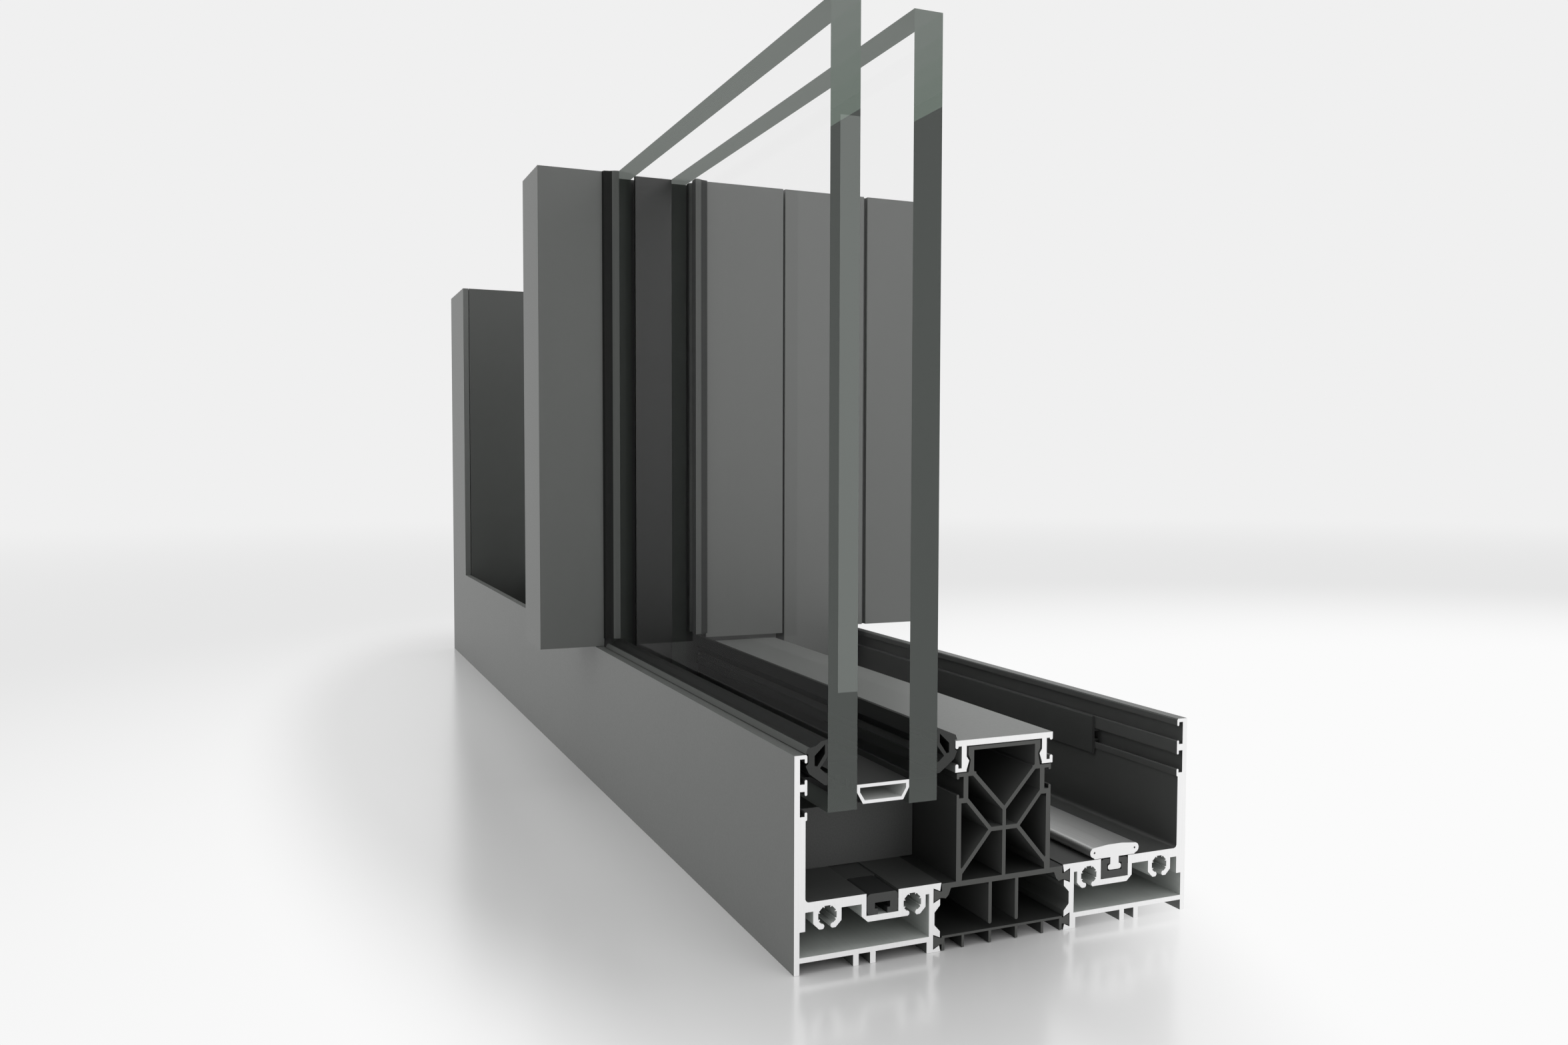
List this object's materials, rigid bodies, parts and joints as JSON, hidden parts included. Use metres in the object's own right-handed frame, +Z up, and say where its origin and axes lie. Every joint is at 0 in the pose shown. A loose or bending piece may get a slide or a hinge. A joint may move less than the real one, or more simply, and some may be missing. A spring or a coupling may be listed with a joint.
{
  "type": "glass sliding patio door section",
  "caption": "Cut-away corner of an aluminium sliding patio door: insulated two-track sill, jamb, fixed double glazing and a sliding glass leaf on a rail.",
  "frame": {"origin": "centre of the bounding box, on the floor plane under the sill's feet", "axes": "+X along the sill from the jamb towards the cut end, +Y from outdoors into the room, +Z up"},
  "size_m": [0.84, 0.234, 0.34],
  "materials": {
    "grey_aluminium": "satin powder-coated grey outside, bare where cut",
    "rail_aluminium": "bare satin extrusion",
    "spacer_aluminium": "bare bright strip",
    "break_plastic": "matt dark extrusion",
    "black_plastic": "matt black",
    "block_plastic": "matt dark grey",
    "black_rubber": "matt black rubber",
    "glass": "clear float glass with a faint green edge",
    "roller_steel": "turned"
  },
  "bodies": {
    "frame": {"sill_outer_shell": "grey_aluminium", "sill_inner_shell": "grey_aluminium", "sill_thermal_break": "break_plastic", "sill_lower_break": "break_plastic", "sill_centre_cover": "grey_aluminium", "pocket_insert": "black_plastic", "pocket_strip": "black_plastic", "track_carrier": "black_plastic", "track_rail": "rail_aluminium", "inner_groove_cover": "black_plastic", "sill_outer_gasket": "black_rubber", "sill_inner_gasket": "black_rubber", "setting_block": "block_plastic", "glass_packer": "black_plastic", "fixed_outer_pane": "glass", "fixed_inner_pane": "glass", "fixed_spacer": "spacer_aluminium", "jamb_outer_shell": "grey_aluminium", "jamb_inner_shell": "grey_aluminium", "jamb_thermal_break": "break_plastic", "jamb_lower_break": "break_plastic", "jamb_centre_cover": "grey_aluminium", "jamb_channel_cover": "grey_aluminium", "interlock_outer_profile": "grey_aluminium", "interlock_pocket": "grey_aluminium", "interlock_inner_profile": "grey_aluminium", "interlock_base_pad": "black_plastic", "interlock_outer_gasket": "black_rubber", "interlock_inner_gasket": "black_rubber"},
    "leaf": {"leaf_meeting_stile": "grey_aluminium", "leaf_proud_profile": "grey_aluminium", "leaf_lock_stile": "grey_aluminium", "leaf_bottom_rail": "grey_aluminium", "leaf_outer_pane": "glass", "leaf_inner_pane": "glass", "leaf_spacer": "spacer_aluminium", "leaf_outer_gasket": "black_rubber", "leaf_inner_gasket": "black_rubber", "front_roller_carriage": "black_plastic", "rear_roller_carriage": "black_plastic", "front_rollers": "roller_steel", "rear_rollers": "roller_steel"}
  },
  "joints": [
    {"name": "leaf_slide", "type": "slide", "parent": "frame", "child": "leaf", "axis": [1, 0, 0], "range_m": [0, 0.27]}
  ]
}
